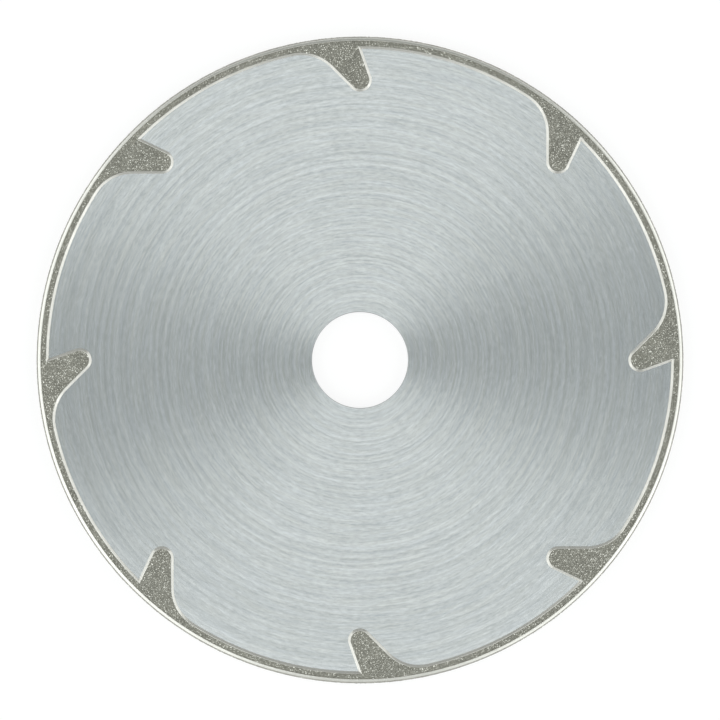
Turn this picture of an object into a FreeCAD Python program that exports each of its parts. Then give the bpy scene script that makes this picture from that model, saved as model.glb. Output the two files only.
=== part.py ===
import FreeCAD, Part
import enum
import math
import os
import Sketcher


# Driving sizes, in millimetres and degrees.
#
# The outline sizes are those of the foot of the plated layer, where it meets the bare steel.
# Ring width and tip inset are measured inward from the disc's edge.

SIZES = {
    "disc_diameter": 150.0,
    "bore_diameter": 22.23,
    "bore_break": 0.12,
    "core_thickness": 1.8,
    "bed_depth": 0.05,
    "rim_wrap": 0.5,
    "shoulder_round": 1.4,
    "edge_round": 1.2,
    "layer_height": 0.5,
    "flank_width": 0.58,
    "ring_width": 2.9,
    "tooth_count": 8.0,
    "first_tooth_heading": 90.0,
    "tip_inset": 10.1,
    "tip_round": 2.75,
    "front_lean": 19.7,
    "back_lean": 45.0,
    "back_blend": 9.7,
}

CORE_RADIUS = "sizes.disc_diameter / 2 - sizes.rim_wrap"
BORE_RADIUS = "sizes.bore_diameter / 2"
FOOT_RADIUS = "sizes.disc_diameter / 2 - sizes.ring_width"
TIP_REACH = "sizes.disc_diameter / 2 - sizes.tip_inset"
CORE_TOP = "sizes.core_thickness / 2"
BED_TOP = "sizes.core_thickness / 2 - sizes.bed_depth"
FLANK_TAPER = "atan(sizes.flank_width / sizes.layer_height)"

UP = FreeCAD.Vector(0, 0, 1)


class Grid(enum.IntEnum):
    """The sketch's own axes cross, counted as an edge."""

    ORIGIN = -1


class Point(enum.IntEnum):
    """The points of an edge, as a sketch counts them."""

    START = 1
    END = 2
    CENTRE = 3


class Edge(enum.IntEnum):
    """The edges of one tooth's outline, in the order they are drawn."""

    RING = 0
    BLEND = 1
    BACK = 2
    TIP = 3
    FRONT = 4


# Sheet, body and sketch helpers.


def write_sheet(doc):
    """Write the driving sizes to a sheet, one named cell each."""
    sheet = doc.addObject("Spreadsheet::Sheet", "sizes")
    for row, (name, value) in enumerate(SIZES.items(), start=1):
        sheet.set("A%d" % row, name)
        sheet.set("B%d" % row, "%.6g" % value)
        sheet.setAlias("B%d" % row, name)
    doc.recompute()
    return sheet


def new_body(doc, label):
    """Start an empty body that carries the sub-part's name."""
    body = doc.addObject("PartDesign::Body", label)
    body.Label = label
    body.Placement = FreeCAD.Placement()
    return body


def origin_plane(body, role):
    """Find one of the body's own origin planes."""
    for feature in body.Origin.OriginFeatures:
        if feature.Role == role:
            return feature
    raise ValueError("no plane %s in %s" % (role, body.Label))


def new_sketch(body, name, role, lift=None):
    """Start a sketch on an origin plane, lifted along its normal by a driven distance."""
    sketch = body.newObject("Sketcher::SketchObject", name)
    sketch.AttachmentSupport = [(origin_plane(body, role), "")]
    sketch.MapMode = "FlatFace"
    if lift:
        sketch.setExpression("AttachmentOffset.Base.z", lift)
    return sketch


def reading(sketch, expression):
    """Read the number that an expression stands for."""
    value = sketch.evalExpression(expression)
    return getattr(value, "Value", value)


def add_dimensions(sketch, dimensions):
    """Add dimensions whose sizes follow expressions: kind, place, name and expression of each."""
    rules = []
    for kind, place, name, expression in dimensions:
        size = reading(sketch, expression)
        if kind == "Angle":
            size = math.radians(size)
        rules.append(Sketcher.Constraint(kind, *place, size))
    indexes = sketch.addConstraint(rules)
    for index, (kind, place, name, expression) in zip(indexes, dimensions):
        sketch.renameConstraint(index, name)
        sketch.setExpression("Constraints." + name, expression)


def disc_sketch(body, name, radius, lift=None):
    """Draw a circle round the axis with a driven radius."""
    sketch = new_sketch(body, name, "XY_Plane", lift)
    circle = Part.Circle(FreeCAD.Vector(), UP, reading(sketch, radius))
    edge = sketch.addGeometry(circle, False)
    centred = Sketcher.Constraint("Coincident", edge, Point.CENTRE, Grid.ORIGIN, Point.START)
    sketch.addConstraint(centred)
    add_dimensions(sketch, [("Radius", (edge,), "radius", radius)])
    return sketch


def arc(centre, start, end):
    """Draw an arc that runs counterclockwise from start to end."""
    first = math.atan2(start.y - centre.y, start.x - centre.x)
    last = math.atan2(end.y - centre.y, end.x - centre.x)
    if last < first:
        last += 2 * math.pi
    circle = Part.Circle(centre, UP, start.distanceToPoint(centre))
    return Part.ArcOfCircle(circle, first, last)


def arc_through(start, end, radius):
    """Draw the short arc of a given radius that turns left from start to end."""
    chord = end - start
    across = FreeCAD.Vector(-chord.y, chord.x, 0).normalize()
    rise = math.sqrt(radius * radius - chord.Length ** 2 / 4)
    return arc((start + end) / 2 + across * rise, start, end)


def pad(body, sketch, name, thickness):
    """Pad a sketch by a driven thickness, centred on the sketch's plane."""
    feature = body.newObject("PartDesign::Pad", name)
    feature.Profile = sketch
    feature.SideType = "Symmetric"
    feature.setExpression("Length", thickness)
    sketch.Visibility = False
    return feature


def pocket(body, sketch, name, depth, taper=None):
    """Cut a sketch into the body: straight down, or upward and widening by a taper."""
    feature = body.newObject("PartDesign::Pocket", name)
    feature.Profile = sketch
    feature.setExpression("Length", depth)
    if taper:
        feature.Reversed = True
        feature.setExpression("TaperAngle", taper)
    sketch.Visibility = False
    return feature


# Outline of the bare steel face.


def reach_to_circle(start, direction, radius):
    """Measure how far a ray runs before it meets a circle round the axis."""
    along = start.dot(direction)
    return -along + math.sqrt(along * along - start.Length ** 2 + radius * radius)


def tooth_points(sketch, heading):
    """Place the joints and centres of one tooth's outline, seen from the front."""
    foot = reading(sketch, FOOT_RADIUS)
    tip = reading(sketch, "sizes.tip_round")
    blend = reading(sketch, "sizes.back_blend")
    front = math.radians(reading(sketch, "sizes.front_lean"))
    back = math.radians(reading(sketch, "sizes.back_lean"))
    centre = FreeCAD.Vector(0, reading(sketch, TIP_REACH), 0)
    front_side = FreeCAD.Vector(math.cos(front), math.sin(front), 0)
    front_along = FreeCAD.Vector(-math.sin(front), math.cos(front), 0)
    back_side = FreeCAD.Vector(-math.cos(back), -math.sin(back), 0)
    back_along = FreeCAD.Vector(-math.sin(back), math.cos(back), 0)
    tip_front = centre + front_side * tip
    tip_back = centre + back_side * tip
    corner = tip_front + front_along * reach_to_circle(tip_front, front_along, foot)
    beside = tip_back + back_side * blend
    blend_centre = beside + back_along * reach_to_circle(beside, back_along, foot - blend)
    points = {
        "tip_centre": centre,
        "tip_front": tip_front,
        "tip_back": tip_back,
        "corner": corner,
        "blend_centre": blend_centre,
        "blend_back": blend_centre - back_side * blend,
        "blend_ring": blend_centre * (foot / blend_centre.Length),
    }
    turn = FreeCAD.Rotation(UP, heading - 90.0)
    return {name: turn.multVec(point) for name, point in points.items()}


def tooth_edges(tooth, next_tooth):
    """Draw the five edges of one tooth's outline, in the order of Edge."""
    return [
        arc(FreeCAD.Vector(), tooth["blend_ring"], next_tooth["corner"]),
        arc(tooth["blend_centre"], tooth["blend_back"], tooth["blend_ring"]),
        Part.LineSegment(tooth["tip_back"], tooth["blend_back"]),
        arc(tooth["tip_centre"], tooth["tip_back"], tooth["tip_front"]),
        Part.LineSegment(tooth["tip_front"], tooth["corner"]),
    ]


def tooth_rules(number, count):
    """Say how the edges of one tooth join each other, its spoke and the next tooth."""
    ring, blend, back, tip, front = (number * len(Edge) + edge for edge in Edge)
    spoke = count * len(Edge) + number
    next_front = (number + 1) % count * len(Edge) + Edge.FRONT
    rules = [
        Sketcher.Constraint("Coincident", ring, Point.CENTRE, Grid.ORIGIN, Point.START),
        Sketcher.Constraint("Tangent", ring, Point.START, blend, Point.END),
        Sketcher.Constraint("Tangent", blend, Point.START, back, Point.END),
        Sketcher.Constraint("Tangent", back, Point.START, tip, Point.START),
        Sketcher.Constraint("Tangent", tip, Point.END, front, Point.START),
        Sketcher.Constraint("Coincident", ring, Point.END, next_front, Point.END),
        Sketcher.Constraint("Coincident", spoke, Point.START, Grid.ORIGIN, Point.START),
        Sketcher.Constraint("Coincident", spoke, Point.END, tip, Point.CENTRE),
    ]
    if number:
        rules.append(Sketcher.Constraint("Equal", Edge.RING, ring))
        rules.append(Sketcher.Constraint("Equal", Edge.BLEND, blend))
        rules.append(Sketcher.Constraint("Equal", Edge.TIP, tip))
        rules.append(Sketcher.Constraint("Equal", count * len(Edge), spoke))
    return rules


def tooth_headings(number, count):
    """Tie the heading of one tooth and the leans of its two straight edges to the sheet."""
    heading = "sizes.first_tooth_heading + 360 / sizes.tooth_count * %d" % number
    turned = [
        ("spoke", count * len(Edge) + number, heading),
        ("back", number * len(Edge) + Edge.BACK, heading + " + sizes.back_lean"),
        ("front", number * len(Edge) + Edge.FRONT, heading + " + sizes.front_lean"),
    ]
    dimensions = []
    for name, edge, angle in turned:
        dimensions.append(("Angle", (edge,), "%s_heading_%d" % (name, number),
                           "(%s) * 1 deg" % angle))
    return dimensions


def face_outline(body, sheet, name, lift=None):
    """Draw the edge of the bare face: ring arcs broken by the hooked teeth."""
    sketch = new_sketch(body, name, "XY_Plane", lift)
    count = int(sheet.get("tooth_count"))
    first = sheet.get("first_tooth_heading")
    teeth = [tooth_points(sketch, first + 360.0 / count * number) for number in range(count)]
    edges = []
    rules = []
    dimensions = [
        ("Radius", (Edge.RING,), "ring_foot", FOOT_RADIUS),
        ("Radius", (Edge.BLEND,), "back_blend", "sizes.back_blend"),
        ("Radius", (Edge.TIP,), "tip_round", "sizes.tip_round"),
        ("Distance", (count * len(Edge),), "tip_reach", TIP_REACH),
    ]
    for number, tooth in enumerate(teeth):
        edges += tooth_edges(tooth, teeth[(number + 1) % count])
        rules += tooth_rules(number, count)
        dimensions += tooth_headings(number, count)
    spokes = [Part.LineSegment(FreeCAD.Vector(), tooth["tip_centre"]) for tooth in teeth]
    sketch.addGeometry(edges, False)
    sketch.addGeometry(spokes, True)
    sketch.addConstraint(rules)
    add_dimensions(sketch, dimensions)
    return sketch


# The steel core.


def circles_of(shape, radius):
    """Name the circular edges that have a given radius."""
    names = []
    for number, edge in enumerate(shape.Edges, start=1):
        if isinstance(edge.Curve, Part.Circle) and abs(edge.Curve.Radius - radius) < 1e-6:
            names.append("Edge%d" % number)
    return names


def build_core(doc, sheet):
    """Build the blank: thinner where it is plated, full where it is bare, with one bore."""
    body = new_body(doc, "steel_core")
    rim = disc_sketch(body, "plated_outline", CORE_RADIUS)
    pad(body, rim, "plated_zone", "sizes.core_thickness - 2 * sizes.bed_depth")
    bare = face_outline(body, sheet, "bare_outline")
    pad(body, bare, "bare_zone", "sizes.core_thickness")
    hole = disc_sketch(body, "bore_outline", BORE_RADIUS, CORE_TOP)
    bore = pocket(body, hole, "bore", "sizes.core_thickness")
    doc.recompute()
    edge_break = body.newObject("PartDesign::Chamfer", "bore_break")
    edge_break.Base = (bore, circles_of(bore.Shape, reading(bore, BORE_RADIUS)))
    edge_break.setExpression("Size", "sizes.bore_break")
    return body


# The plated layer.


def layer_section(body):
    """Draw the section of the layer: a channel that holds the edge of the blank."""
    sketch = new_sketch(body, "channel_section", "XZ_Plane")
    rim = "sizes.disc_diameter / 2"
    inner = TIP_REACH + " - 2 * sizes.tip_round"
    top = "sizes.core_thickness / 2 + sizes.layer_height"
    bend = rim + " - (1 - sin(45 deg)) * sizes.edge_round"
    shoulder = bend + " - sin(45 deg) * sizes.shoulder_round"
    bend_up = top + " - (1 - cos(45 deg)) * sizes.shoulder_round"
    land = bend_up + " - cos(45 deg) * sizes.edge_round"
    front = [
        ("land", rim, land),
        ("bend", bend, bend_up),
        ("shoulder", shoulder, top),
        ("face_in", inner, top),
        ("bed_in", inner, BED_TOP),
        ("bed_out", CORE_RADIUS, BED_TOP),
    ]
    rounds = {
        frozenset(("land", "bend")): "sizes.edge_round",
        frozenset(("bend", "shoulder")): "sizes.shoulder_round",
    }
    corners = [(name + "_front", out, up) for name, out, up in front]
    corners += [(name + "_back", out, "-(%s)" % up) for name, out, up in reversed(front)]
    names = [name for name, out, up in front] + [name for name, out, up in reversed(front)]
    points = []
    for corner, out, up in corners:
        points.append(FreeCAD.Vector(reading(sketch, out), reading(sketch, up), 0))
    edges = []
    rules = []
    for edge, (start, name) in enumerate(zip(points, names)):
        following = (edge + 1) % len(points)
        end = points[following]
        radius = rounds.get(frozenset((name, names[following])))
        if radius:
            edges.append(arc_through(start, end, reading(sketch, radius)))
        else:
            edges.append(Part.LineSegment(start, end))
        kind = "Tangent" if names[following] in ("land", "shoulder") else "Coincident"
        rules.append(Sketcher.Constraint(kind, edge, Point.END, following, Point.START))
    sketch.addGeometry(edges, False)
    sketch.addConstraint(rules)
    dimensions = []
    for edge, (name, out, up) in enumerate(corners):
        place = (Grid.ORIGIN, Point.START, edge, Point.START)
        dimensions.append(("DistanceX", place, name + "_out", out))
        dimensions.append(("DistanceY", place, name + "_up", up))
    add_dimensions(sketch, dimensions)
    return sketch


def build_layer(doc, sheet):
    """Build the plated layer: a channel round the rim, opened over the bare face by sloped flanks."""
    body = new_body(doc, "diamond_coating")
    section = layer_section(body)
    channel = body.newObject("PartDesign::Revolution", "channel")
    channel.Profile = section
    channel.ReferenceAxis = (section, ["V_Axis"])
    channel.Angle = 360.0
    section.Visibility = False
    outline = face_outline(body, sheet, "foot_outline", CORE_TOP)
    step = pocket(body, outline, "foot_step", "sizes.bed_depth")
    flank = pocket(body, outline, "flank", "sizes.layer_height", FLANK_TAPER)
    mirror = body.newObject("PartDesign::Mirrored", "back_side")
    mirror.Originals = [step, flank]
    mirror.MirrorPlane = (origin_plane(body, "XY_Plane"), [""])
    body.Tip = mirror
    return body


# Checks and export.


def check_document(doc):
    """Stop when any object failed to rebuild."""
    for item in doc.Objects:
        if "Invalid" in item.State or "Error" in item.State:
            raise RuntimeError("%s did not rebuild: %s" % (item.Name, item.State))


def check_solid(body):
    """Stop when a sub-part isn't one valid solid."""
    shape = body.Shape
    if shape.isNull() or not shape.isValid() or len(shape.Solids) != 1:
        raise RuntimeError("%s is not one valid solid" % body.Label)


def main():
    """Build the disc and write one file for each sub-part."""
    os.makedirs("parts", exist_ok=True)
    doc = FreeCAD.newDocument("cutting_disc")
    sheet = write_sheet(doc)
    bodies = [build_core(doc, sheet), build_layer(doc, sheet)]
    doc.recompute()
    check_document(doc)
    for body in bodies:
        check_solid(body)
        body.Shape.exportStep("parts/%s.step" % body.Label)
        print(body.Label, round(body.Shape.Volume, 3), body.Shape.BoundBox)


main()
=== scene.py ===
"""Looks of the diamond cutting disc: brushed steel blank, plated rim, teeth and diamond grit."""

import enum
import itertools
import logging
import math
from dataclasses import dataclass, field

import bmesh
import bpy
import numpy as np
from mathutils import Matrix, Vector
from mathutils.geometry import delaunay_2d_cdt


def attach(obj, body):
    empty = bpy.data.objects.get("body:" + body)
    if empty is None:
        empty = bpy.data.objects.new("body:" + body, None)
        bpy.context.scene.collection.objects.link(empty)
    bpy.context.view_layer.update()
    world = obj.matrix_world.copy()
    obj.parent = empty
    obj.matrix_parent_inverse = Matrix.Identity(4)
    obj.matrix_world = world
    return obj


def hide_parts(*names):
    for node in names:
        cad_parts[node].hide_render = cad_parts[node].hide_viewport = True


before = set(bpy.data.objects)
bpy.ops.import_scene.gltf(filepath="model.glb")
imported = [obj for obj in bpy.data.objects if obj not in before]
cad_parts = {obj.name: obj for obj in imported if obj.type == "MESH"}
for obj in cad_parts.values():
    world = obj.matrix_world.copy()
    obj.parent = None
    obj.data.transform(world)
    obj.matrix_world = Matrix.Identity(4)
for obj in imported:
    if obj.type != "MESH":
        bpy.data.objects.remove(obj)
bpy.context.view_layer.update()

LOG = logging.getLogger("cutting_disc")
BODY = "root"
MM = 0.001
SAME_POINT = 1e-7
Colour = tuple[float, float, float, float]
Socket = bpy.types.NodeSocket
Value = Socket | float


# Small helpers for meshes.


@dataclass
class MeshParts:
    """Points, faces and the faces' material slots of a mesh while it is being put together."""

    points: list[np.ndarray] = field(default_factory=list)
    faces: list[tuple[int, ...]] = field(default_factory=list)
    slots: list[int] = field(default_factory=list)

    def add_points(self, rows: np.ndarray) -> np.ndarray:
        """Add points and number them.

        Args:
            rows: Array of rows x, y, z.

        Returns:
            The numbers of the new points.
        """
        start = sum(len(block) for block in self.points)
        self.points.append(np.asarray(rows, float))
        return np.arange(start, start + len(rows))

    def add_faces(self, faces: np.ndarray, slot: int) -> None:
        """Add faces with one material slot."""
        self.faces += [tuple(corners) for corners in faces.tolist()]
        self.slots += [slot] * len(faces)

    def bridge(self, low: np.ndarray, high: np.ndarray, slot: int) -> None:
        """Join two closed loops of the same length by a band of quads.

        Args:
            low: Point numbers of the first loop, counterclockwise.
            high: Point numbers of the loop that follows it.
            slot: Material slot of the band.
        """
        quads = [low, np.roll(low, -1), np.roll(high, -1), high]
        self.add_faces(np.stack(quads, axis=1), slot)

    def fill(self, outer: np.ndarray, inner: np.ndarray, slot: int, upward: bool) -> None:
        """Fill the flat region between two closed loops with triangles.

        Args:
            outer: Point numbers of the loop round the region.
            inner: Point numbers of the loop round the hole.
            slot: Material slot of the triangles.
            upward: Whether the region faces up.
        """
        numbers = np.concatenate([outer, inner])
        flat = np.concatenate(self.points)[numbers, :2]
        first, second = len(outer), len(inner)
        edges = [(k, (k + 1) % first) for k in range(first)]
        edges += [(first + k, first + (k + 1) % second) for k in range(second)]
        scaled = [Vector((x / MM, y / MM)) for x, y in flat]
        _, _, triangles, origins, _, _ = delaunay_2d_cdt(scaled, edges, [], 1, SAME_POINT)
        corners = np.array([origin[0] for origin in origins])[np.array(triangles)]
        corners = corners[~inside(flat[corners].mean(axis=1), flat[first:])]
        wrong = np.array([(turn_of(flat[triangle]) > 0) != upward for triangle in corners])
        corners[wrong] = corners[wrong, ::-1]
        self.add_faces(numbers[corners], slot)

    def mirror_down(self) -> None:
        """Add the mirror image of everything through the mid-plane."""
        everything = np.concatenate(self.points)
        shift = len(everything)
        self.points.append(everything * np.array([1.0, 1.0, -1.0]))
        self.faces += [tuple(corner + shift for corner in reversed(face)) for face in self.faces]
        self.slots += self.slots

    def build(self, name: str, materials: list[bpy.types.Material], crease: float) -> bpy.types.Object:
        """Make the object, weld its seams and shade it.

        Args:
            name: Name of the piece.
            materials: Materials in slot order.
            crease: Angle in degrees above which an edge stays sharp.

        Returns:
            The finished object.
        """
        mesh = bpy.data.meshes.new(name)
        mesh.from_pydata(np.concatenate(self.points).tolist(), [], self.faces)
        for material in materials:
            mesh.materials.append(material)
        mesh.polygons.foreach_set("material_index", self.slots)
        work = bmesh.new()
        work.from_mesh(mesh)
        bmesh.ops.remove_doubles(work, verts=work.verts, dist=SAME_POINT)
        work.to_mesh(mesh)
        work.free()
        mesh.shade_smooth()
        mesh.set_sharp_from_angle(angle=math.radians(crease))
        return add_to_scene(name, mesh)


def add_to_scene(name: str, data: bpy.types.ID) -> bpy.types.Object:
    """Make an object that holds a mesh, a lamp or a lens, and link it to the scene.

    Args:
        name: Name of the object.
        data: What it holds.

    Returns:
        The object.
    """
    made = bpy.data.objects.new(name, data)
    bpy.context.scene.collection.objects.link(made)
    return made


def turn_of(triangle: np.ndarray) -> float:
    """Give twice the signed area of a flat triangle."""
    a, b, c = triangle
    return float((b[0] - a[0]) * (c[1] - a[1]) - (b[1] - a[1]) * (c[0] - a[0]))


def inside(places: np.ndarray, loop: np.ndarray) -> np.ndarray:
    """Test which places lie inside a closed loop.

    Args:
        places: Array of rows x, y.
        loop: Array of rows x, y, the loop's points in order.

    Returns:
        An array of booleans, one for each place.
    """
    x, y = places[:, 0:1], places[:, 1:2]
    ax, ay = loop[:, 0], loop[:, 1]
    bx, by = np.roll(ax, -1), np.roll(ay, -1)
    crosses = (ay > y) != (by > y)
    level = np.where(by == ay, 1.0, by - ay)
    across = ax + (y - ay) * (bx - ax) / level
    return (np.sum(crosses & (x < across), axis=1) % 2) == 1


def distance_to(places: np.ndarray, loop: np.ndarray) -> np.ndarray:
    """Measure how far each place lies from a closed loop.

    Args:
        places: Array of rows x, y.
        loop: Array of rows x, y, the loop's points in order.

    Returns:
        An array of distances, one for each place.
    """
    at_once = 2000
    along = np.roll(loop, -1, axis=0) - loop
    length = np.sum(along * along, axis=1)
    nearest = np.full(len(places), np.inf)
    for part in np.array_split(np.arange(len(places)), max(1, len(places) // at_once)):
        gap = places[part, None, :] - loop[None, :, :]
        share = np.clip(np.sum(gap * along, axis=2) / length, 0.0, 1.0)
        away = gap - share[..., None] * along
        nearest[part] = np.sqrt(np.sum(away * away, axis=2).min(axis=1))
    return nearest


def ring(radius: float, height: float, count: int) -> np.ndarray:
    """Place points evenly on a circle round the axis.

    Args:
        radius: Radius in metres.
        height: Height above the mid-plane in metres.
        count: Number of points.

    Returns:
        Array of rows x, y, z, counterclockwise.
    """
    turn = np.arange(count) * (2.0 * math.pi / count)
    level = np.full(count, height)
    return np.stack([radius * np.cos(turn), radius * np.sin(turn), level], axis=1)


def spoke(turn: float) -> np.ndarray:
    """Give the flat way of length 1 at an angle in radians."""
    return np.array([math.cos(turn), math.sin(turn)])


def left_of(way: np.ndarray) -> np.ndarray:
    """Turn a flat way a quarter to the left."""
    return np.array([-way[1], way[0]])


def reach(start: np.ndarray, way: np.ndarray, radius: float) -> float:
    """Measure how far a ray runs before it meets a circle round the axis."""
    along = float(start @ way)
    return -along + math.sqrt(along * along - float(start @ start) + radius * radius)


# The outline that the plated layer draws on the steel.


@dataclass
class Trail:
    """Points along an outline, each with the way on which it moves in an offset."""

    points: list[np.ndarray] = field(default_factory=list)
    ways: list[np.ndarray] = field(default_factory=list)

    def add(self, point: np.ndarray, way: np.ndarray) -> None:
        """Add one point."""
        self.points.append(point)
        self.ways.append(way)

    def line(self, start: np.ndarray, end: np.ndarray, way: np.ndarray, count: int) -> None:
        """Add a straight line, without its first point.

        Args:
            start: Where the line starts.
            end: Where it ends.
            way: The way of its points.
            count: Number of steps.
        """
        for step in range(1, count + 1):
            self.add(start + (end - start) * (step / count), way)

    def bend(self, centre: np.ndarray, radius: float, first: float, last: float, outward: float,
             count: int) -> None:
        """Add an arc, without its first point.

        Args:
            centre: Centre of the arc.
            radius: Radius of the arc.
            first: Angle at its start, in radians.
            last: Angle at its end, in radians.
            outward: 1 where the offset grows the arc, -1 where it shrinks it.
            count: Number of steps.
        """
        for step in range(1, count + 1):
            side = spoke(first + (last - first) * (step / count))
            self.add(centre + side * radius, side * outward)


@dataclass(frozen=True)
class ToothOutline:
    """Foot of the plated layer: ring arcs broken by hooked teeth.

    Args:
        disc_radius: Radius over the plated rim.
        ring_width: From the disc's edge to the foot of the ring.
        tip_inset: From the disc's edge to the middle of a tooth's round tip.
        tip_round: Radius of the tip.
        back_blend: Radius of the hollow between a tooth's back and the ring.
        front_lean: Lean of the tooth's front from the spoke, in degrees.
        back_lean: Lean of the tooth's back from the spoke, in degrees.
        count: Number of teeth. The steps are those along one part of a tooth.
    """

    disc_radius: float = 75.0 * MM
    ring_width: float = 2.9 * MM
    tip_inset: float = 10.1 * MM
    tip_round: float = 2.75 * MM
    back_blend: float = 9.7 * MM
    front_lean: float = 19.7
    back_lean: float = 45.0
    count: int = 8
    ring_steps: int = 56
    blend_steps: int = 22
    line_steps: int = 10
    tip_steps: int = 30

    def one_tooth(self) -> tuple[np.ndarray, np.ndarray]:
        """Walk along one tooth that points down from the top of the ring, right to left.

        Returns:
            Points on the foot and their ways towards the grit, ending before the next
            tooth's corner. The way is longer at the corner, so that an offset keeps it sharp.
        """
        foot = self.disc_radius - self.ring_width
        centre = np.array([0.0, self.disc_radius - self.tip_inset])
        front, back = math.radians(self.front_lean), math.radians(self.back_lean)
        front_side, back_side = spoke(front), -spoke(back)
        front_way, back_way = left_of(front_side), left_of(spoke(back))
        tip_front = centre + front_side * self.tip_round
        tip_back = centre + back_side * self.tip_round
        corner = tip_front + front_way * reach(tip_front, front_way, foot)
        beside = tip_back + back_side * self.back_blend
        hollow = beside + back_way * reach(beside, back_way, foot - self.back_blend)
        blend_back = hollow - back_side * self.back_blend
        blend_ring = math.atan2(hollow[1], hollow[0])
        next_corner = math.atan2(corner[1], corner[0]) + 2.0 * math.pi / self.count

        trail = Trail()
        ring_side, inner_side = corner / foot, -front_side
        trail.add(corner, (ring_side + inner_side) / (1.0 + float(ring_side @ inner_side)))
        trail.line(corner, tip_front, inner_side, self.line_steps)
        trail.bend(centre, self.tip_round, front, back - math.pi, -1.0, self.tip_steps)
        trail.line(tip_back, blend_back, -back_side, self.line_steps)
        trail.bend(hollow, self.back_blend, back, blend_ring, 1.0, self.blend_steps)
        trail.bend(np.zeros(2), foot, blend_ring, next_corner, 1.0, self.ring_steps)
        return np.array(trail.points[:-1]), np.array(trail.ways[:-1])

    def loop(self, offset: float, height: float) -> np.ndarray:
        """Walk round the whole outline, offset towards the grit.

        Args:
            offset: How far to move, in metres.
            height: Height above the mid-plane, in metres.

        Returns:
            Array of rows x, y, z, counterclockwise.
        """
        points, ways = self.one_tooth()
        moved = []
        for number in range(self.count):
            turn = math.radians(360.0 / self.count * number)
            matrix = np.array([spoke(turn), left_of(spoke(turn))])
            moved.append(points @ matrix + ways @ matrix * offset)
        everything = np.concatenate(moved)
        return np.column_stack([everything, np.full(len(everything), height)])


# Shared effects for the materials.


class Effect(enum.Enum):
    """Shader groups that more than one material uses."""

    BRUSHING = "ring_brushing"
    PLATING = "plating_skin"


def new_group(name: str, inputs: dict[str, float], outputs: list[str]) -> bpy.types.NodeTree:
    """Start a shader node group with number inputs and outputs.

    Args:
        name: Name of the group.
        inputs: Name and usual value of each input.
        outputs: Name of each output.

    Returns:
        The group, with nodes for its inputs and outputs.
    """
    tree = bpy.data.node_groups.new(name, "ShaderNodeTree")
    for label, value in inputs.items():
        socket = tree.interface.new_socket(name=label, in_out="INPUT", socket_type="NodeSocketFloat")
        socket.default_value = value
    for label in outputs:
        tree.interface.new_socket(name=label, in_out="OUTPUT", socket_type="NodeSocketFloat")
    tree.nodes.new("NodeGroupInput").name = "in"
    tree.nodes.new("NodeGroupOutput").name = "out"
    return tree


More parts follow.
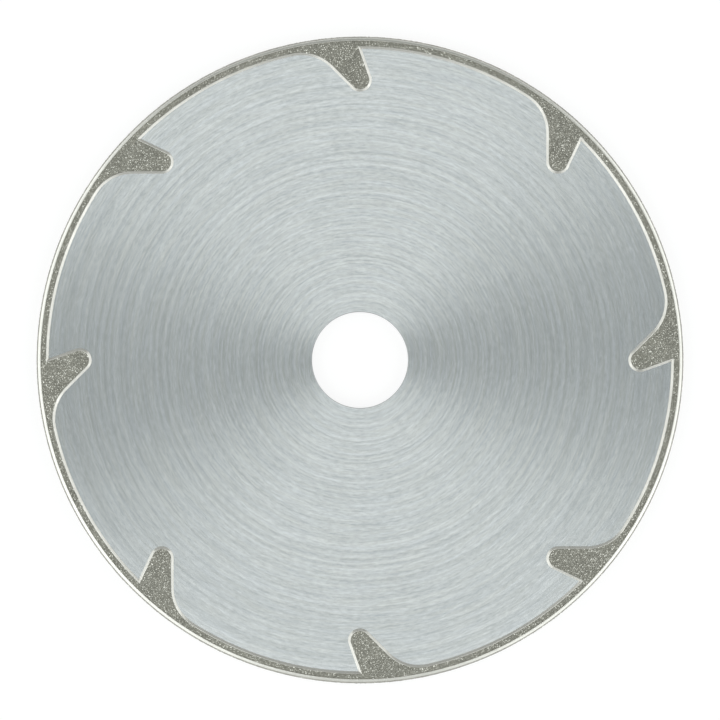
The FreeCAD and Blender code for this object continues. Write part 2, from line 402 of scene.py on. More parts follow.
@dataclass
class Wiring:
    """A short way to add and join the shader nodes of one tree."""

    tree: bpy.types.NodeTree

    def node(self, kind: str, **settings: object) -> bpy.types.Node:
        """Add a node and set its own properties.

        Args:
            kind: Type of the node.
            **settings: Its properties, by name.

        Returns:
            The node.
        """
        made = self.tree.nodes.new(kind)
        for name, value in settings.items():
            setattr(made, name, value)
        return made

    def join(self, source: Socket, target: Socket) -> None:
        """Join two sockets."""
        self.tree.links.new(source, target)

    def feed(self, node: bpy.types.Node, inputs: dict[str | int, Value | Colour]) -> None:
        """Fill inputs of a node.

        Args:
            node: The node.
            inputs: A socket to join or a value to set, by the input's name or number.
        """
        for label, value in inputs.items():
            if isinstance(value, Socket):
                self.join(value, node.inputs[label])
            else:
                node.inputs[label].default_value = value

    def math(self, operation: str, first: Value, second: Value = 0.0) -> Socket:
        """Add a Math node.

        Args:
            operation: Name of the operation.
            first: A socket or a number.
            second: A socket or a number.

        Returns:
            The result's socket.
        """
        made = self.node("ShaderNodeMath", operation=operation)
        self.feed(made, {0: first, 1: second})
        return made.outputs[0]

    def weigh(self, *parts: tuple[Socket, Value]) -> Socket:
        """Add up sockets, each times its share.

        Args:
            *parts: The sockets, each with its share.

        Returns:
            The sum's socket.
        """
        total = None
        for value, share in parts:
            part = self.math("MULTIPLY", value, share)
            total = part if total is None else self.math("ADD", total, part)
        return total

    def remap(self, value: Socket, low: float, high: float, to_low: float = 0.0,
              to_high: float = 1.0) -> Socket:
        """Stretch a value from one range to another, held to the ends.

        Args:
            value: The socket to stretch.
            low: Value that becomes to_low.
            high: Value that becomes to_high.
            to_low: Lower end of the result.
            to_high: Upper end of the result.

        Returns:
            The result's socket.
        """
        made = self.node("ShaderNodeMapRange")
        self.feed(made, {"Value": value, "From Min": low, "From Max": high, "To Min": to_low,
                         "To Max": to_high})
        return made.outputs["Result"]

    def mix(self, share: Value, first: Socket | Colour, second: Socket | Colour,
            kind: str = "MIX") -> Socket:
        """Mix two colours.

        Args:
            share: Share of the second colour, from 0 to 1.
            first: The colour at 0.
            second: The colour at 1.
            kind: Name of the blend type.

        Returns:
            The colour's socket.
        """
        made = self.node("ShaderNodeMix", data_type="RGBA", blend_type=kind)
        one, two = [number for number, socket in enumerate(made.inputs) if socket.type == "RGBA"]
        self.feed(made, {"Factor": share, one: first, two: second})
        return next(socket for socket in made.outputs if socket.type == "RGBA")

    def noise(self, place: Socket, scale: float, detail: float, rough: float = 0.5) -> Socket:
        """Add a noise texture.

        Args:
            place: Socket with the coordinates.
            scale: Size of the noise.
            detail: Number of finer layers.
            rough: How strong the finer layers are.

        Returns:
            The value's socket.
        """
        made = self.node("ShaderNodeTexNoise")
        self.feed(made, {"Vector": place, "Scale": scale, "Detail": detail, "Roughness": rough})
        return made.outputs["Fac"]

    def bump(self, height: Socket, strength: float, depth: float) -> Socket:
        """Turn a height into a normal.

        Args:
            height: Socket with the height, 0 to 1.
            strength: How strongly it shows.
            depth: Height of 1, in metres.

        Returns:
            The normal's socket.
        """
        made = self.node("ShaderNodeBump")
        self.feed(made, {"Height": height, "Strength": strength, "Distance": depth})
        return made.outputs["Normal"]

    def group(self, effect: Effect, **values: float) -> bpy.types.Node:
        """Place a shared effect with its own values.

        Args:
            effect: Which effect.
            **values: Its inputs, by name in small letters, with underscores for spaces.

        Returns:
            The group's node.
        """
        made = self.node("ShaderNodeGroup", node_tree=bpy.data.node_groups[effect.value])
        self.feed(made, {name.replace("_", " ").title(): value for name, value in values.items()})
        return made


def ring_place(wiring: Wiring, across: Value, along: Value) -> Socket:
    """Give coordinates that draw a texture out round the axis, with no seam.

    Args:
        wiring: The tree to work in.
        across: How fast the coordinates change along the radius, per metre.
        along: How fast they change along a circle, per metre.

    Returns:
        The coordinates' socket.
    """
    parts = wiring.node("ShaderNodeSeparateXYZ")
    wiring.join(wiring.node("ShaderNodeTexCoord").outputs["Object"], parts.inputs[0])
    x, y = parts.outputs["X"], parts.outputs["Y"]
    radius = wiring.math("SQRT", wiring.weigh((x, x), (y, y)))
    joined = wiring.node("ShaderNodeCombineXYZ")
    for index, (value, pace) in enumerate(((radius, across), (x, along), (y, along))):
        wiring.feed(joined, {index: wiring.math("MULTIPLY", value, pace)})
    return joined.outputs[0]


@dataclass(frozen=True)
class Scratches:
    """One layer of scratches round the bore, in steps per metre across and along them."""

    across: float
    along: float
    detail: float
    share: float


WHOLE_RINGS = Scratches(across=1220.0, along=2.5, detail=4.0, share=0.44)
LONG_ARCS = Scratches(across=1170.0, along=150.0, detail=2.0, share=0.18)
SHORT_DASHES = Scratches(across=3180.0, along=640.0, detail=3.0, share=0.38)


def make_brushing() -> None:
    """Build the effect of fine scratches that run round the bore."""
    inputs = {"Fineness": 1.0, "Length": 1.0}
    tree = new_group(Effect.BRUSHING.value, inputs, ["Streaks", "Height", "Hue"])
    wiring = Wiring(tree)
    source, target = tree.nodes["in"].outputs, tree.nodes["out"].inputs
    layers = []
    for layer in (WHOLE_RINGS, LONG_ARCS, SHORT_DASHES):
        across = wiring.math("MULTIPLY", source["Fineness"], layer.across)
        along = wiring.math("DIVIDE", layer.along, source["Length"])
        place = ring_place(wiring, across, along)
        layers.append((wiring.noise(place, scale=1.0, detail=layer.detail, rough=0.55), layer.share))
    total = wiring.weigh(*layers)
    wiring.join(wiring.remap(total, low=0.39, high=0.61), target["Streaks"])
    wiring.join(total, target["Height"])
    hue = wiring.noise(ring_place(wiring, across=1300.0, along=100.0), scale=1.0, detail=1.0)
    wiring.join(wiring.remap(hue, low=0.3, high=0.7), target["Hue"])


def make_plating() -> None:
    """Build the effect of a plated nickel skin: fine nodules and soft unevenness."""
    inputs = {"Nodule Size": 0.3, "Unevenness": 1.0}
    tree = new_group(Effect.PLATING.value, inputs, ["Nodules", "Height", "Tone"])
    wiring = Wiring(tree)
    source, target = tree.nodes["in"].outputs, tree.nodes["out"].inputs
    where = wiring.node("ShaderNodeTexCoord").outputs["Object"]
    cells = wiring.node("ShaderNodeTexVoronoi", feature="F1")
    scale = wiring.math("DIVIDE", 1.0 / MM, source["Nodule Size"])
    wiring.feed(cells, {"Vector": where, "Scale": scale})
    nodules = wiring.remap(cells.outputs["Distance"], low=0.0, high=0.75, to_low=1.0, to_high=0.0)
    soft = wiring.noise(where, scale=900.0, detail=2.0)
    patches = wiring.noise(where, scale=260.0, detail=3.0)
    wiring.join(nodules, target["Nodules"])
    wiring.join(wiring.weigh((nodules, 0.4), (soft, source["Unevenness"])), target["Height"])
    wiring.join(wiring.remap(patches, low=0.3, high=0.7), target["Tone"])


# The finishes.


def blank_material(name: str) -> tuple[bpy.types.Material, Wiring, bpy.types.Node]:
    """Start a material that holds one Principled shader.

    Args:
        name: Name of the material.

    Returns:
        The material, its wiring and its shader.
    """
    material = bpy.data.materials.new(name)
    material.use_nodes = True
    tree = material.node_tree
    tree.nodes.clear()
    wiring = Wiring(tree)
    shader = wiring.node("ShaderNodeBsdfPrincipled")
    output = wiring.node("ShaderNodeOutputMaterial")
    wiring.join(shader.outputs["BSDF"], output.inputs["Surface"])
    return material, wiring, shader


@dataclass(frozen=True)
class BrushedSteel:
    """Steel brushed in circles round the bore.

    Dark and rough are for the depth of a scratch, light and smooth for the ridges. The shine is
    drawn out across the scratches, for which it is turned by a part of a whole turn.
    """

    name: str = "brushed_steel"
    dark: Colour = (0.495, 0.522, 0.537, 1.0)
    light: Colour = (0.645, 0.673, 0.692, 1.0)
    cool: Colour = (0.975, 0.99, 1.0, 1.0)
    warm: Colour = (0.99, 0.995, 0.98, 1.0)
    anisotropy: float = 0.80
    shine_turn: float = 0.25
    smooth: float = 0.22
    rough: float = 0.26
    relief: float = 0.3
    depth: float = 0.01 * MM

    def material(self) -> bpy.types.Material:
        """Make the material.

        Returns:
            The finished material.
        """
        material, wiring, shader = blank_material(self.name)
        brushing = wiring.group(Effect.BRUSHING, fineness=1.0, length=1.0)
        streaks = brushing.outputs["Streaks"]
        steel = wiring.mix(streaks, self.dark, self.light)
        tint = wiring.mix(brushing.outputs["Hue"], self.cool, self.warm)
        tangent = wiring.node("ShaderNodeTangent", direction_type="RADIAL", axis="Z")
        wiring.feed(shader, {
            "Base Color": wiring.mix(1.0, steel, tint, "MULTIPLY"),
            "Metallic": 1.0,
            "Roughness": wiring.remap(streaks, 0.0, 1.0, self.rough, self.smooth),
            "Normal": wiring.bump(brushing.outputs["Height"], self.relief, self.depth),
            "Anisotropic": self.anisotropy,
            "Anisotropic Rotation": self.shine_turn,
            "Tangent": tangent.outputs["Tangent"],
        })
        return material


@dataclass(frozen=True)
class CutSteel:
    """Bare machined steel of the bore, toned by the same hue marks round the bore as the brushing; its
    fineness and length don't change them.
    """

    name: str = "cut_steel"
    dark: Colour = (0.36, 0.37, 0.37, 1.0)
    light: Colour = (0.52, 0.53, 0.53, 1.0)
    fineness: float = 2.0
    length: float = 3.0
    roughness: float = 0.34

    def material(self) -> bpy.types.Material:
        """Make the material.

        Returns:
            The finished material.
        """
        material, wiring, shader = blank_material(self.name)
        marks = wiring.group(Effect.BRUSHING, fineness=self.fineness, length=self.length)
        colour = wiring.mix(marks.outputs["Hue"], self.dark, self.light)
        wiring.feed(shader, {"Base Color": colour, "Metallic": 1.0, "Roughness": self.roughness})
        return material


@dataclass(frozen=True)
class NickelPlate:
    """Plated nickel: the smooth lips, or the dull bed between the grains.

    Dark and rough are for the duller patches. Mottle is the nodules' share in the tone, and a
    nodule's width is in millimetres.
    """

    name: str
    dark: Colour
    light: Colour
    rough: float
    smooth: float
    nodule_size: float = 0.26
    mottle: float = 0.5
    unevenness: float = 1.0
    relief: float = 0.5
    depth: float = 0.04 * MM

    def material(self) -> bpy.types.Material:
        """Make the material.

        Returns:
            The finished material.
        """
        material, wiring, shader = blank_material(self.name)
        skin = wiring.group(Effect.PLATING, nodule_size=self.nodule_size, unevenness=self.unevenness)
        patches, nodules = skin.outputs["Tone"], skin.outputs["Nodules"]
        tone = wiring.weigh((patches, 1.0 - self.mottle), (nodules, self.mottle))
        wiring.feed(shader, {
            "Base Color": wiring.mix(tone, self.dark, self.light),
            "Metallic": 1.0,
            "Roughness": wiring.remap(tone, 0.0, 1.0, self.rough, self.smooth),
            "Normal": wiring.bump(skin.outputs["Height"], self.relief, self.depth),
        })
        return material


@dataclass(frozen=True)
class DiamondGrit:
    """Diamond grains, each with a tone of its own from 0 to 1.

    Grains are dark up to the first tone named, middling at the second and pale from the third.
    They shine partly like the nickel behind them, and bending is how they bend light.
    """

    name: str
    dark: Colour
    middle: Colour
    light: Colour
    dark_to: float = 0.35
    middle_at: float = 0.55
    light_from: float = 0.78
    roughness: float = 0.24
    bending: float = 2.0
    metal: float = 0.6

    def material(self) -> bpy.types.Material:
        """Make the material.

        Returns:
            The finished material.
        """
        material, wiring, shader = blank_material(self.name)
        tone = wiring.node("ShaderNodeAttribute", attribute_name=TONE)
        ramp = wiring.node("ShaderNodeValToRGB")
        wiring.feed(ramp, {"Fac": tone.outputs["Fac"]})
        stops = ramp.color_ramp.elements
        stops[0].color, stops[1].color = self.dark, self.light
        stops.new(self.dark_to).color = self.dark
        stops.new(self.middle_at).color = self.middle
        stops.new(self.light_from).color = self.light
        wiring.feed(shader, {"Base Color": ramp.outputs["Color"], "Metallic": self.metal,
                             "Roughness": self.roughness, "IOR": self.bending})
        return material


TONE = "tone"
FACE_GRIT = DiamondGrit(
    "diamond_grit", dark=(0.415, 0.403, 0.355, 1.0), middle=(0.63, 0.612, 0.546, 1.0),
    light=(0.86, 0.84, 0.768, 1.0))
EDGE_GRIT = DiamondGrit(
    "edge_grit", dark=(0.42, 0.41, 0.37, 1.0), middle=(0.62, 0.60, 0.55, 1.0),
    light=(0.97, 0.95, 0.90, 1.0))
BOND_BED = NickelPlate(
    "bond_bed", dark=(0.26, 0.254, 0.222, 1.0), light=(0.54, 0.527, 0.465, 1.0),
    rough=0.62, smooth=0.48, mottle=0.75, unevenness=0.6, relief=0.7)
EDGE_BED = NickelPlate(
    "edge_bed", dark=(0.33, 0.322, 0.29, 1.0), light=(0.52, 0.51, 0.465, 1.0),
    rough=0.56, smooth=0.44, unevenness=0.8)
BRIGHT_LIP = NickelPlate(
    "bright_lip", dark=(0.68, 0.656, 0.612, 1.0), light=(0.85, 0.82, 0.772, 1.0),
    rough=0.36, smooth=0.26, nodule_size=0.34, depth=0.03 * MM)
BRIGHT_BEVEL = NickelPlate(
    "bright_bevel", dark=(0.88, 0.856, 0.80, 1.0), light=(1.0, 0.975, 0.92, 1.0),
    rough=0.38, smooth=0.25, nodule_size=0.34, mottle=0.7, relief=0.9, depth=0.03 * MM)


# The steel blank.


class BlankSlot(enum.IntEnum):
    """Material slots of the blank."""

    FACE = 0
    CUT = 1


@dataclass(frozen=True)
class SteelBlank:
    """The disc of steel with its bore.

    The outline is the foot of the plated layer, and the seat is the face that carries the layer.
    Both faces' heights are from the mid-plane. Edges above the crease, in degrees, stay sharp.
    """

    outline: ToothOutline
    radius: float = 74.5 * MM
    bore: float = 11.115 * MM
    edge_break: float = 0.12 * MM
    half_thickness: float = 0.9 * MM
    seat: float = 0.85 * MM
    segments: int = 240
    crease: float = 20.0

    def build(self) -> None:
        """Build the blank and put it in the place of its solid."""
        parts = MeshParts()
        wall = parts.add_points(ring(self.bore, 0.0, self.segments))
        lip = parts.add_points(ring(self.bore, self.half_thickness - self.edge_break, self.segments))
        mouth = parts.add_points(ring(self.bore + self.edge_break, self.half_thickness, self.segments))
        foot = parts.add_points(self.outline.loop(0.0, self.half_thickness))
        step = parts.add_points(self.outline.loop(0.0, self.seat))
        rim = parts.add_points(ring(self.radius, self.seat, len(foot)))
        edge = parts.add_points(ring(self.radius, 0.0, len(foot)))
        parts.bridge(lip, wall, BlankSlot.CUT)
        parts.bridge(mouth, lip, BlankSlot.CUT)
        parts.fill(foot, mouth, BlankSlot.FACE, upward=True)
        parts.bridge(step, foot, BlankSlot.FACE)
        parts.fill(rim, step, BlankSlot.FACE, upward=True)
        parts.bridge(edge, rim, BlankSlot.FACE)
        parts.mirror_down()
        piece = parts.build("steel_blank", [BrushedSteel().material(), CutSteel().material()], self.crease)
        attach(piece, BODY)
        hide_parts("steel_core")
        LOG.info("steel blank: %d faces", len(piece.data.polygons))


# The plated layer.


class LayerSlot(enum.IntEnum):
    """Material slots of the plated layer."""

    LIP = 0
    BED = 1
    BEVEL = 2
    EDGE = 3


@dataclass(frozen=True)
class RimProfile:
    """Section of the plated rim: a shoulder round, an edge round and a narrow land.

    Shoulder and edge are the radii of the rounds, of which one passes into the other at the
    change, a tilt in degrees. The top is the layer's height above the mid-plane.
    """

    rim: float
    shoulder: float = 1.4 * MM
    edge: float = 1.2 * MM
    top: float = 1.4 * MM
    change: float = 45.0

    def at(self, tilt: float, sink: float = 0.0) -> tuple[float, float]:
        """Find the place on the section where the surface tilts by an angle.

        Args:
            tilt: Tilt from the face in degrees, 0 to 90.
            sink: How far below the true surface, in metres.

        Returns:
            Radius and height in metres.
        """
        half = math.sqrt(0.5)
        bend_out = self.rim - (1.0 - half) * self.edge
        bend_up = self.top - (1.0 - half) * self.shoulder
        size = self.shoulder if tilt <= self.change else self.edge
        cosine, sine = spoke(math.radians(tilt)).tolist()
        out = bend_out + (sine - half) * size - sink * sine
        up = bend_up + (cosine - half) * size - sink * cosine
        return out, up


@dataclass(frozen=True)
class PlatedLayer:
    """The nickel layer: bright lips, dull bed, bright bevel and the bed of the edge's grains.

    Args:
        flank: Offset and height of each point of the flank. The last height is the bed's.
        bed_edge: Radius at which the bed ends at the shoulder.
        bed_rows: Tilt in degrees and share of the sink of each row from the bed to the bevel.
        bevel_tilts: Tilt of each row of the bevel.
        edge_rows: Tilt and share of the sink of each row of the edge.
        sink: How deep the bond lies under the tops of the edge grains.
        gritty_from: Tilt of the edge round at which the grains begin.
        segments: Points round the rim.
    """

    blank: SteelBlank
    profile: RimProfile
    flank: tuple[tuple[float, float], ...] = (
        (0.0, 0.9 * MM), (0.06 * MM, 0.92 * MM), (0.10 * MM, 0.95 * MM), (0.46 * MM, 1.295 * MM),
        (0.50 * MM, 1.315 * MM), (0.54 * MM, 1.30 * MM), (0.60 * MM, 1.265 * MM))
    bed_edge: float = 73.84 * MM
    bed_rows: tuple[tuple[float, float], ...] = ((9.0, 0.7), (10.5, 0.2), (12.0, 0.0))
    bevel_tilts: tuple[float, ...] = (16.0, 20.0, 24.0, 28.0, 32.0, 36.0, 40.0, 43.0)
    edge_rows: tuple[tuple[float, float], ...] = (
        (46.0, 0.0), (49.0, 0.2), (51.0, 0.7), (53.0, 1.0), (60.0, 1.0), (70.0, 1.0), (80.0, 1.0),
        (90.0, 1.0))
    sink: float = 0.09 * MM
    gritty_from: float = 50.0
    segments: int = 720
    crease: float = 32.0

    def rim_rows(self) -> list[tuple[float, float, LayerSlot]]:
        """List the rows of points from the bed over the rim to the mid-plane.

        Returns:
            Radius, height and material slot of each row.
        """
        rows = [(self.bed_edge, self.flank[-1][1], LayerSlot.BED)]
        for tilt, share in self.bed_rows:
            rows.append((*self.profile.at(tilt, self.sink * share), LayerSlot.BED))
        for tilt in self.bevel_tilts:
            rows.append((*self.profile.at(tilt), LayerSlot.BEVEL))
        for tilt, share in self.edge_rows:
            rows.append((*self.profile.at(tilt, self.sink * share), LayerSlot.EDGE))
        rows.append((rows[-1][0], 0.0, LayerSlot.EDGE))
        return rows

    def build(self) -> None:
        """Build the nickel layer and put it in the place of its solid."""
        blank = self.blank
        parts = MeshParts()
        step = parts.add_points(blank.outline.loop(0.0, blank.seat))
        lip = step
        for offset, height in self.flank:
            row = parts.add_points(blank.outline.loop(offset, height))
            parts.bridge(lip, row, LayerSlot.LIP)
            lip = row
        rows = [(parts.add_points(ring(radius, height, self.segments)), slot)
                for radius, height, slot in self.rim_rows()]
        for (before, _), (row, slot) in itertools.pairwise(rows):
            parts.bridge(row, before, slot)
        parts.fill(rows[0][0], lip, LayerSlot.BED, upward=True)
        wall = parts.add_points(ring(blank.radius, blank.seat, self.segments))
        middle = parts.add_points(ring(blank.radius, 0.0, self.segments))
        parts.fill(wall, step, LayerSlot.BED, upward=False)
        parts.bridge(wall, middle, LayerSlot.BED)
        parts.mirror_down()
        finishes = [finish.material() for finish in (BRIGHT_LIP, BOND_BED, BRIGHT_BEVEL, EDGE_BED)]
        piece = parts.build("nickel_layer", finishes, self.crease)
        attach(piece, BODY)
        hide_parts("diamond_coating")
        LOG.info("nickel layer: %d faces", len(piece.data.polygons))


# The diamond grains.


class Side(enum.IntEnum):
    """Where grains sit. The faces' numbers are also the sign of their height."""

    FRONT = 1
    BACK = -1
    EDGE = 5


def cut_cube() -> np.ndarray:
    """Place the corners of a cut cube, the middles of the edges of a cube 2 wide.

    Returns:
        Array of twelve rows x, y, z.
    """
    corners = []
    for flat in range(3):
        for pair in itertools.product((-1.0, 1.0), repeat=2):
            corners.append(np.insert(pair, flat, 0.0))
    return np.array(corners)


def cut_cube_faces() -> list[tuple[int, ...]]:
    """List the faces of a cut cube: six squares and eight triangles.

    Returns:
        Corner numbers of each face, counterclockwise from outside.
    """
    base = cut_cube()
    ways = [sign * axis for axis in np.eye(3, dtype=int) for sign in (1, -1)]
    ways += [np.array(signs) for signs in itertools.product((-1, 1), repeat=3)]
    faces = []
    for way in ways:
        depth = base @ way
        chosen = np.flatnonzero(depth > depth.max() - SAME_POINT)
        spread = base[chosen] - base[chosen].mean(axis=0)
        side = np.cross(way, spread[0])
        turn = np.arctan2(spread @ side / np.linalg.norm(side), spread @ spread[0])
        faces.append(tuple(int(corner) for corner in chosen[np.argsort(turn)]))
    return faces


@dataclass(frozen=True)
class GrainBed:
    """Diamond grains set in the nickel: cut cubes of many sizes and tones.

    Spacing is the distance between neighbours. Jitter is how far a face grain strays, pace the
    distance between rows of the edge, stray and slide how far an edge grain strays along and
    across its row, all as shares of the spacing. Smallest and largest are half widths, of which
    knock is the share by which a corner is knocked about. A sink is how far the tops of grains
    may lie below the surface, and clear_of_foot keeps their middles off the foot.
    """

    layer: PlatedLayer
    spacing: float = 0.46 * MM
    smallest: float = 0.15 * MM
    largest: float = 0.26 * MM
    stretch: tuple[float, float] = (0.78, 1.12)
    knock: float = 0.10
    jitter: float = 0.32
    clear_of_foot: float = 0.62 * MM
    face_sink: float = 0.05 * MM
    edge_sink: float = 0.04 * MM
    edge_pace: float = 0.9
    edge_stray: float = 0.3
    edge_slide: float = 0.2
    seed: int = 7

    def face_places(self, draw: np.random.Generator) -> np.ndarray:
        """Scatter grains over the flat of the ring and the teeth.

        Args:
            draw: Source of random numbers.

        Returns:
            Array of rows x, y.
        """
        outline = self.layer.blank.outline
        limit = outline.disc_radius
        rows = np.arange(-limit, limit, self.spacing * math.sqrt(3.0) / 2.0)
        columns = np.arange(-limit, limit, self.spacing)
        x, y = np.meshgrid(columns, rows)
        x = x + (np.arange(len(rows)) % 2)[:, None] * self.spacing / 2.0
        places = np.column_stack([x.ravel(), y.ravel()])
        places = places + draw.uniform(-self.jitter, self.jitter, places.shape) * self.spacing
        radius = np.hypot(places[:, 0], places[:, 1])
        innermost = outline.disc_radius - outline.tip_inset - outline.tip_round
        places = places[(radius > innermost) & (radius < self.layer.bed_edge)]
        foot = outline.loop(0.0, 0.0)[:, :2]
        places = places[~inside(places, foot)]
        return places[distance_to(places, foot) > self.clear_of_foot]

    def build_face(self, name: str, side: Side, material: bpy.types.Material) -> None:
        """Build the grains of one face as one piece.

        Args:
            name: Name of the piece.
            side: Which face.
            material: Material of the grains.
        """
        draw = np.random.default_rng(self.seed + side)
        places = self.face_places(draw)
        grains = self.shapes(draw, len(places))
        crown = self.layer.profile.top - draw.uniform(0.0, self.face_sink, len(places))
        lift = crown - grains[:, :, 2].max(axis=1)
        grains[:, :, 0] += places[:, 0:1]
        grains[:, :, 1] += places[:, 1:2]
        grains[:, :, 2] += lift[:, None]
        grains[:, :, 2] *= side
        self.finish(name, grains, draw, material, flipped=side is Side.BACK)

    def edge_section(self) -> list[tuple[float, float, float]]:
        """Place the rows of grains on the section of the cutting edge.

        Returns:
            Radius, height and tilt in degrees of each row.
        """
        profile = self.layer.profile
        pace = math.degrees(self.spacing * self.edge_pace / profile.edge)
        rows = []
        tilt = 90.0
        while tilt > self.layer.gritty_from + pace / 2.0:
            rows.append((*profile.at(tilt), tilt))
            tilt -= pace
        return rows + [(out, -up, 180.0 - lean) for out, up, lean in rows]

    def build_edge(self, name: str, material: bpy.types.Material) -> None:
        """Build the grains of the cutting edge as one piece.

        Args:
            name: Name of the piece.
            material: Material of the grains.
        """
        draw = np.random.default_rng(self.seed + Side.EDGE)
        rim = self.layer.profile.rim
        count = int(2.0 * math.pi * rim / self.spacing)
        blocks: list[np.ndarray] = []
        for row, (out, up, lean) in enumerate(self.edge_section()):
            stray = draw.uniform(-self.edge_stray, self.edge_stray, count)
            turn = (np.arange(count) + row * 0.5 + stray) / count * 2.0 * math.pi
            cosine, sine = np.cos(turn)[:, None], np.sin(turn)[:, None]
            grains = self.shapes(draw, count)
            slope = math.radians(lean)
            slid = draw.uniform(-self.edge_slide, self.edge_slide, count) * self.spacing
            across = grains[:, :, 1] + slid[:, None]
            depth = grains[:, :, 2] - grains[:, :, 2].max(axis=1)[:, None]
            depth -= draw.uniform(0.0, self.edge_sink, count)[:, None]
            radial = out + depth * math.sin(slope) - across * math.cos(slope)
            level = up + depth * math.cos(slope) + across * math.sin(slope)
            sideways = grains[:, :, 0]
            blocks.append(np.stack([radial * cosine - sideways * sine,
                                    radial * sine + sideways * cosine, level], axis=2))
        grains = np.concatenate(blocks)
        reach_out = np.hypot(grains[:, :, 0], grains[:, :, 1]).max(axis=1)
        grains[:, :, :2] *= np.minimum(1.0, rim / reach_out)[:, None, None]
        self.finish(name, grains, draw, material, flipped=False)

    def shapes(self, draw: np.random.Generator, count: int) -> np.ndarray:
        """Make cut cubes of random size, stretch and turn about the origin.

        Args:
            draw: Source of random numbers.
            count: Number of grains.

        Returns:
            Array of grains, each of twelve corners.
        """
        base = cut_cube() / math.sqrt(2.0)
        size = draw.uniform(self.smallest, self.largest, (count, 1, 1))
        stretch = draw.uniform(*self.stretch, (count, 1, 3))
        knock = draw.uniform(-self.knock, self.knock, (count, len(base), 3))
        shapes = (base[None, :, :] + knock) * size * stretch
        spin = draw.normal(size=(count, 4))
        spin /= np.linalg.norm(spin, axis=1, keepdims=True)
        share, axis = spin[:, None, :1], spin[:, None, 1:]
        swing = 2.0 * np.cross(axis, shapes)
        return shapes + share * swing + np.cross(axis, swing)

    def finish(self, name: str, grains: np.ndarray, draw: np.random.Generator,
               material: bpy.types.Material, flipped: bool) -> None:
        """Turn grains into one piece with a tone for each grain.

        Args:
            name: Name of the piece.
            grains: Array of grains, each of twelve corners.
            draw: Source of random numbers.
            material: Material of the grains.
            flipped: Whether the grains were mirrored.
        """
        faces = cut_cube_faces()
        if flipped:
            faces = [face[::-1] for face in faces]
        count, corners = grains.shape[:2]
        numbers = [tuple(corner + first for corner in face)
                   for first in range(0, count * corners, corners) for face in faces]
        mesh = bpy.data.meshes.new(name)
        mesh.from_pydata(grains.reshape(-1, 3).tolist(), [], numbers)
        mesh.materials.append(material)
        tone = mesh.attributes.new(TONE, "FLOAT", "POINT")
        tone.data.foreach_set("value", np.repeat(draw.random(count), corners).astype(np.float32))
        mesh.shade_flat()
        piece = add_to_scene(name, mesh)
        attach(piece, BODY)
        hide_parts("diamond_coating")
        LOG.info("%s: %d grains, %d faces", name, count, len(mesh.polygons))


# The studio.


WHITE = (1.0, 1.0, 1.0, 1.0)
DAYLIGHT = (0.96, 1.0, 1.0)
LAMPLIGHT = (1.0, 0.995, 0.965)


@dataclass(frozen=True)
class Panel:
    """One soft lamp that faces the disc.

    Args:
        name: Name of the lamp.
        heading: Side on which it stands, in degrees counterclockwise from +X.
        lean: How far it stands from straight overhead, in degrees.
        away: Its distance from the disc.
        half_width: Half its width as seen from the disc, in degrees.
        half_height: Half its height as seen from the disc, in degrees.
        glow: How much brighter than the room it is, where 1 is white.
        colour: Colour of its light.
    """

    name: str
    heading: float
    lean: float
    away: float
    half_width: float
    half_height: float
    glow: float
    colour: tuple[float, float, float] = DAYLIGHT

    def build(self) -> None:
        """Hang the lamp and turn it to the disc."""
        lean = math.radians(self.lean)
        way = Vector((*spoke(math.radians(self.heading)) * math.sin(lean), math.cos(lean)))
        lamp = bpy.data.lights.new(self.name, "AREA")
        lamp.shape = "RECTANGLE"
        lamp.size = 2.0 * self.away * math.tan(math.radians(self.half_width))
        lamp.size_y = 2.0 * self.away * math.tan(math.radians(self.half_height))
        lamp.energy = self.glow * math.pi * lamp.size * lamp.size_y
        lamp.color = self.colour
        holder = add_to_scene(self.name, lamp)
        holder.visible_camera = False
        holder.location = way * self.away
        holder.rotation_euler = (-way).to_track_quat("-Z", "Y").to_euler()
        LOG.info("lamp %s", self.name)


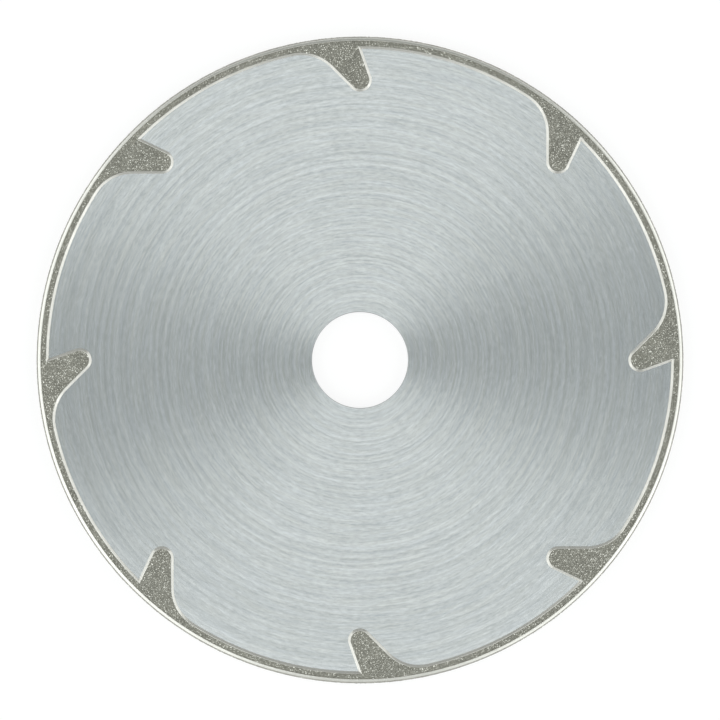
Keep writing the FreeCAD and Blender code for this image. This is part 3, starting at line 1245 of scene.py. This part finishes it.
@dataclass(frozen=True)
class Studio:
    """White floor, soft lamps and the camera.

    Args:
        floor_level: Height of the floor, on which the layer's back lies.
        floor_colour: Colour of the floor under the lamps, which carries the disc's shadow.
        floor_glow: Brightness that the floor shows to the camera and in reflections.
        view_height: Height of the camera above the disc.
        view_width: Width of what the frame holds at the disc.
        film_width: Width of the camera's film, in millimetres. It shows what is between
            view_from and view_to.
    """

    floor_level: float
    floor_size: float = 6.0
    floor_colour: Colour = (0.25, 0.25, 0.25, 1.0)
    floor_roughness: float = 0.9
    floor_glow: float = 0.825
    sky: float = 0.32
    sky_colour: Colour = (0.94, 1.0, 0.975, 1.0)
    view_height: float = 1.6
    view_width: float = 166.85 * MM
    film_width: float = 36.0
    view_from: float = 0.05
    view_to: float = 20.0
    lamps: tuple[Panel, ...] = (
        Panel("overhead_front", 274.0, 10.0, 2.2, 14.0, 6.0, 1.0, LAMPLIGHT),
        Panel("overhead_back", 94.0, 10.0, 2.2, 14.0, 6.0, 1.0, LAMPLIGHT),
        Panel("overhead_middle", 94.0, 0.5, 2.2, 3.0, 4.5, 0.8, LAMPLIGHT),
        Panel("left_wall", 175.0, 63.0, 1.6, 35.0, 29.0, 0.86),
        Panel("front_left_wall", 228.0, 63.0, 1.6, 21.0, 29.0, 0.82),
        Panel("right_wall", 6.0, 66.0, 1.6, 37.0, 26.0, 0.86),
        Panel("front_right_wall", 314.0, 66.0, 1.6, 21.0, 26.0, 0.80),
        Panel("front_panel", 271.0, 57.0, 1.6, 22.0, 21.0, 0.30),
        Panel("back_skirt", 95.0, 81.0, 1.6, 52.0, 10.0, 0.30),
    )

    def build(self) -> None:
        """Set the whole studio."""
        self.build_room()
        self.build_floor()
        for lamp in self.lamps:
            lamp.build()
        self.build_camera()
        bpy.context.scene.view_settings.view_transform = "Standard"

    def build_room(self) -> None:
        """Light the room evenly from all round."""
        world = bpy.data.worlds.new("room")
        bpy.context.scene.world = world
        world.use_nodes = True
        wiring = Wiring(world.node_tree)
        world.node_tree.nodes.clear()
        glow = wiring.node("ShaderNodeBackground")
        wiring.feed(glow, {"Color": self.sky_colour, "Strength": self.sky})
        output = wiring.node("ShaderNodeOutputWorld")
        wiring.join(glow.outputs[0], output.inputs["Surface"])
        LOG.info("room light")

    def build_floor(self) -> None:
        """Lay the white floor under the disc."""
        half = self.floor_size / 2.0
        corners = [(-half, -half), (half, -half), (half, half), (-half, half)]
        mesh = bpy.data.meshes.new("floor")
        mesh.from_pydata([(x, y, self.floor_level) for x, y in corners], [], [(0, 1, 2, 3)])
        material, wiring, shader = blank_material("white_floor")
        path = wiring.node("ShaderNodeLightPath")
        seen = wiring.math("MAXIMUM", path.outputs["Is Camera Ray"], path.outputs["Is Transmission Ray"])
        seen = wiring.math("MAXIMUM", seen, path.outputs["Is Glossy Ray"])
        wiring.feed(shader, {
            "Base Color": self.floor_colour,
            "Roughness": self.floor_roughness,
            "Specular IOR Level": 0.0,
            "Emission Color": WHITE,
            "Emission Strength": wiring.math("MULTIPLY", seen, self.floor_glow),
        })
        mesh.materials.append(material)
        floor = add_to_scene("floor", mesh)
        LOG.info("floor")

    def build_camera(self) -> None:
        """Hang the camera straight above the disc."""
        lens = bpy.data.cameras.new("camera")
        lens.sensor_width = self.film_width
        lens.lens = self.film_width * self.view_height / self.view_width
        lens.clip_start = self.view_from
        lens.clip_end = self.view_to
        camera = add_to_scene("camera", lens)
        camera.location = (0.0, 0.0, self.view_height)
        bpy.context.scene.camera = camera
        LOG.info("camera")


def main() -> None:
    """Build the disc and its studio."""
    logging.basicConfig(level=logging.INFO, format="%(name)s: %(message)s")
    make_brushing()
    make_plating()
    outline = ToothOutline()
    blank = SteelBlank(outline)
    blank.build()
    profile = RimProfile(rim=outline.disc_radius)
    layer = PlatedLayer(blank, profile)
    layer.build()
    grit = FACE_GRIT.material()
    bed = GrainBed(layer)
    bed.build_face("front_grains", Side.FRONT, grit)
    bed.build_face("back_grains", Side.BACK, grit)
    bed.build_edge("edge_grains", EDGE_GRIT.material())
    Studio(floor_level=-profile.top).build()


if __name__ == "__main__":
    main()
